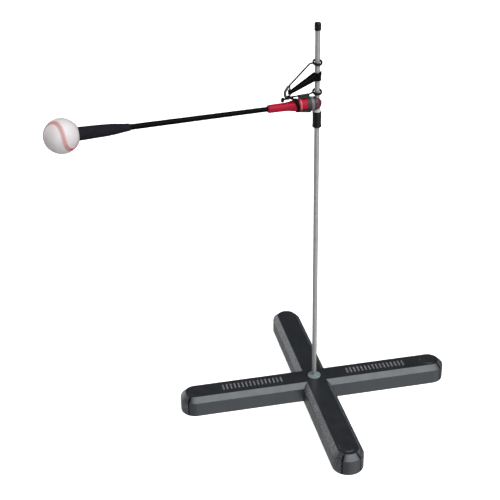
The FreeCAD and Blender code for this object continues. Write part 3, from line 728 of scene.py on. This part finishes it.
def make_ball_cover(seam, holes):
    """The two-part leather cover: pulled in along the seam, and puckered at every stitch hole."""
    bm = bmesh.new()
    bmesh.ops.create_icosphere(bm, subdivisions=6, radius=1)
    seam_tree = nearest_tree(seam)
    for reach in REFINED_REACHES:
        near = {v for v in bm.verts if seam_tree.find(v.co.normalized())[2] * BALL_RADIUS < reach}
        edges = [e for e in bm.edges if e.verts[0] in near and e.verts[1] in near]
        bmesh.ops.subdivide_edges(bm, edges=edges, cuts=1, use_grid_fill=True)
        for v in bm.verts:
            v.co.normalize()
    bmesh.ops.triangulate(bm, faces=bm.faces)
    hole_tree = nearest_tree(holes)
    dirt = bm.verts.layers.float.new("seam")
    for v in bm.verts:
        away = seam_tree.find(v.co)[2] * BALL_RADIUS
        hole = hole_tree.find(v.co)[2] * BALL_RADIUS
        groove = GROOVE_DEPTH * math.exp(-((away / GROOVE_HALF_WIDTH) ** 2))
        lip = LIP_HEIGHT * math.exp(-(((away - LIP_PLACE) / LIP_HALF_WIDTH) ** 2))
        pucker = PUCKER_DEPTH * math.exp(-((hole / PUCKER_HALF_WIDTH) ** 2))
        ripple = RIPPLE_DEPTH * noise.noise(v.co * 5.0)
        along_seam = math.exp(-((away / DIRT_HALF_WIDTH) ** 2))
        round_hole = math.exp(-((hole / HOLE_DIRT_HALF_WIDTH) ** 2))
        v[dirt] = min(1.0, along_seam + 0.5 * round_hole)
        v.co *= BALL_RADIUS - groove + lip - pucker + ripple
    bmesh.ops.translate(bm, verts=bm.verts, vec=BALL_CENTRE)
    return mesh_of(bm, "ball_leather_cover")


def hollow_out(cover):
    """Leaves the cover as a shell round the core, with a round hole for the rod's ferrule."""
    bm = bmesh.new()
    bmesh.ops.create_icosphere(bm, subdivisions=5, radius=BALL_RADIUS - COVER_THICKNESS)
    bmesh.ops.translate(bm, verts=bm.verts, vec=BALL_CENTRE)
    subtract(cover, cutter(bm))
    bm = bmesh.new()
    path = [BALL_CENTRE - ALONG * (BALL_RADIUS * share) for share in (0.5, 0.8, 1.2)]

    def hole(share):
        return FERRULE_RADIUS + FERRULE_GAP

    swept(bm, path, UP, hole, hole, 64)
    subtract(cover, cutter(bm))


def cutter(bm):
    tool = bpy.data.objects.new("cutter", mesh_of(bm, "cutter"))
    bpy.context.scene.collection.objects.link(tool)
    return tool


def subtract(piece, tool):
    """Cuts the tool out of the piece and takes the tool away."""
    change = piece.modifiers.new("cut", "BOOLEAN")
    change.operation = "DIFFERENCE"
    change.solver = "MANIFOLD"
    change.object = tool
    apply_modifiers(piece)
    bpy.data.objects.remove(tool)


def apply_modifiers(piece):
    graph = bpy.context.evaluated_depsgraph_get()
    mesh = bpy.data.meshes.new_from_object(piece.evaluated_get(graph))
    piece.modifiers.clear()
    piece.data = mesh


def make_stitches(frames):
    """Each pair is a V of two short threads that rise from their holes and dive into the seam."""
    bm = bmesh.new()
    for point, ahead, across in frames:
        for hand in (-1, 1):
            path = []
            for i in range(STITCH_STEPS + 1):
                share = i / STITCH_STEPS
                side = hand * STITCH_REACH * (1 - share)
                lead = STITCH_LEAD * (1 - share) ** STITCH_CURL
                rise = math.sin(math.pi * (STITCH_ARC_START + STITCH_ARC * share))
                lift = STITCH_HEIGHT * rise - STITCH_SINK
                spot = (point * BALL_RADIUS + across * side + ahead * lead).normalized()
                path.append(BALL_CENTRE + spot * (BALL_RADIUS + lift))
            swept(bm, path, point, lambda share: THREAD_RADIUS, lambda share: THREAD_RADIUS * 0.9, 8)
    return mesh_of(bm, "ball_stitches")


def make_ball():
    frames = stitch_frames()
    holes = []
    for point, ahead, across in frames:
        for hand in (-1, 1):
            place = point * BALL_RADIUS + across * (hand * STITCH_REACH) + ahead * STITCH_LEAD
            holes.append(place.normalized())
    leather = make_ball_cover(even_seam(SEAM_POINTS), holes)
    cover = new_piece("ball_leather_cover", leather, "ball_leather")
    hollow_out(cover)
    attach(cover, "arm")
    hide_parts("ball_cover")
    stitches = new_piece("ball_stitches", make_stitches(frames), "ball_leather", "arm")
    stitches.data.materials[0] = FINISHES["stitch_thread"].material


# ---------------------------------------------------------------- foam sleeve on the rod

# Millimetres along the arm, and the radius there.
FOAM_OUTLINE = [
    (403.8, 6.7), (404.4, 7.2), (406.0, 7.7), (409.5, 8.1), (416.0, 8.7),
    (425.0, 9.7), (435.0, 11.0), (445.0, 11.9), (458.0, 12.6), (480.0, 13.2),
    (494.0, 13.6), (503.0, 13.9), (507.2, 13.8), (508.8, 13.3),
]
FOAM_TURNS = 112
FOAM_BORE_GAP = 0.05 * MM
FOAM_BORE_STEPS = 40
# The lumps are only on the outside, which is further out than this. Each is a depth in
# millimetres and how fine the noise is.
FOAM_SKIN_RADIUS = 6.3 * MM
FOAM_LUMPS = ((0.22, 90), (0.07, 420))
# Where along the arm the rod starts and ends, and its radius there.
ROD_NEAR = (34.0 * MM, 4.9 * MM)
ROD_FAR = (546.8 * MM, 6.4 * MM)


def make_foam():
    """The foam sleeve: a soft, lumpy cone that swells to a blunt end against the ball."""
    bm = bmesh.new()
    outline = smooth_path([Vector((a * MM, r * MM, 0)) for a, r in FOAM_OUTLINE], 7)
    near = (outline[0].x, rod_radius(outline[0].x) + FOAM_BORE_GAP)
    far = (outline[-1].x, rod_radius(outline[-1].x) + FOAM_BORE_GAP)
    steps = range(FOAM_BORE_STEPS)
    bore = [[f + (n - f) * i / FOAM_BORE_STEPS for f, n in zip(far, near)] for i in steps]
    profile = [near] + [(p.x, p.y) for p in outline] + bore
    loops = []
    for place, radius in profile:
        loop = ring_of(bm, on_arm(place, 0, HUB_HEIGHT), ACROSS, UP, radius, radius, FOAM_TURNS)
        loops.append(loop)
    for first, second in zip(loops, loops[1:] + loops[:1]):
        join_loops(bm, first, second)
    for v in bm.verts:
        out = v.co - on_arm(arm_place(v.co), 0, HUB_HEIGHT)
        if out.length > FOAM_SKIN_RADIUS:
            lump = sum(depth * noise.noise(v.co * fineness) for depth, fineness in FOAM_LUMPS)
            v.co += out.normalized() * (lump * MM)
    foam = new_piece("foam_grip", mesh_of(bm, "foam_grip"), "foam", "arm")
    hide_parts("foam_sleeve")


def rod_radius(along):
    """The rod widens evenly from the arm sleeve to the ball."""
    share = (along - ROD_NEAR[0]) / (ROD_FAR[0] - ROD_NEAR[0])
    return ROD_NEAR[1] + (ROD_FAR[1] - ROD_NEAR[1]) * share


# ---------------------------------------------------------------- strap

BAND_PLACE = 46.3 * MM
BAND_SLANT = 1.6 * MM
BAND_SEAT = 12.35 * MM
BAND_THICKNESS = 2.8 * MM
BAND_WIDTH = 6.4 * MM
STRAND_RADIUS = 2.3 * MM
# Millimetres along and across the arm, and above its axis.
LOOP_ROUTE = [
    (47.4, 13.2, 4.0), (49.6, 12.0, 9.8), (53.2, 9.8, 14.4),
    (58.2, 7.4, 17.8), (63.0, 5.2, 20.4), (65.4, 0.0, 22.8),
]
TAIL_ROUTE = [
    (64.6, 1.5, 22.0), (67.2, 5.2, 21.0), (71.5, 5.9, 19.6), (75.2, 3.4, 18.0), (77.3, 0.0, 15.8),
]
LOOP_SWELL = 0.7
STRAP_VOXEL = 0.42 * MM


def routed(route, steps=10):
    """A smooth path through places given in millimetres from the hub's centre."""
    return smooth_path([on_arm(a * MM, c * MM, HUB_HEIGHT + h * MM) for a, c, h in route], steps)


def strap_band():
    """The band round the neck, leaning towards the wire at its top."""
    bm = bmesh.new()
    turns = 96
    centre_radius = BAND_SEAT + BAND_THICKNESS / 2
    loops = []
    for i in range(turns):
        angle = 2 * math.pi * i / turns
        out = ACROSS * math.cos(angle) + UP * math.sin(angle)
        along = BAND_PLACE + BAND_SLANT * math.sin(angle)
        centre = on_arm(along, 0, HUB_HEIGHT) + out * centre_radius
        thick = BAND_THICKNESS / 2 * (1 + 0.05 * noise.noise(out * 2))
        loops.append(ring_of(bm, centre, ALONG, out, BAND_WIDTH / 2, thick, 28, 3.4))
    for first, second in zip(loops, loops[1:] + loops[:1]):
        join_loops(bm, first, second)
    return cutter(bm)


def strap_strand(route, start_swell):
    """One round strand of the strap, thicker where it leaves the band."""
    bm = bmesh.new()

    def width(share):
        return STRAND_RADIUS * (1.0 + start_swell * max(0, 1 - share * 3) ** 2)

    def height(share):
        return width(share) * 0.9

    swept(bm, routed(route), UP, width, height, 24, 2.3)
    return cutter(bm)


def make_strap():
    """The rubber strap: a leaning band, two strands that loop over the wire's nose, and a tail."""
    band = strap_band()
    mirrored = [(a, -c, h) for a, c, h in LOOP_ROUTE]
    routes = ((LOOP_ROUTE, LOOP_SWELL), (mirrored, LOOP_SWELL), (TAIL_ROUTE, 0))
    strands = [strap_strand(route, swell) for route, swell in routes]
    for strand in strands:
        merge = band.modifiers.new("join", "BOOLEAN")
        merge.operation = "UNION"
        merge.solver = "MANIFOLD"
        merge.object = strand
    remesh = band.modifiers.new("even", "REMESH")
    remesh.mode = "VOXEL"
    remesh.voxel_size = STRAP_VOXEL
    soften = band.modifiers.new("soften", "SMOOTH")
    soften.factor = 0.5
    soften.iterations = 5
    apply_modifiers(band)
    for strand in strands:
        bpy.data.objects.remove(strand)
    strap = new_piece("rubber_strap", band.data, "strap_rubber")
    bpy.data.objects.remove(band)
    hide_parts("strap")
    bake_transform(strap)


BEAD_LIFT = 1.2 * MM
BEAD_STRETCH = 1.35


def make_knob():
    """The strap's moulded end: a plump bead, longer than it is wide."""
    centre = middle("strap_knob") + UP * BEAD_LIFT
    radius = half_height("strap_knob")
    lean = (ALONG * 0.30 - UP).normalized()
    bm = bmesh.new()
    steps = 24
    half_length = radius * BEAD_STRETCH
    path = [centre - lean * (half_length * math.cos(math.pi * i / steps)) for i in range(steps + 1)]

    def swell(share):
        """The bead's radius, as if share ran evenly round half a turn."""
        turn = math.pi * share
        return max(0.03, math.sin(turn)) * radius * (1.0 + 0.08 * math.cos(turn))

    swept(bm, path, ACROSS, swell, swell, 28)
    knob = new_piece("strap_bead", mesh_of(bm, "strap_bead"), "strap_rubber", "head")
    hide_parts("strap_knob")


make_ball()
make_foam()
make_strap()
make_knob()
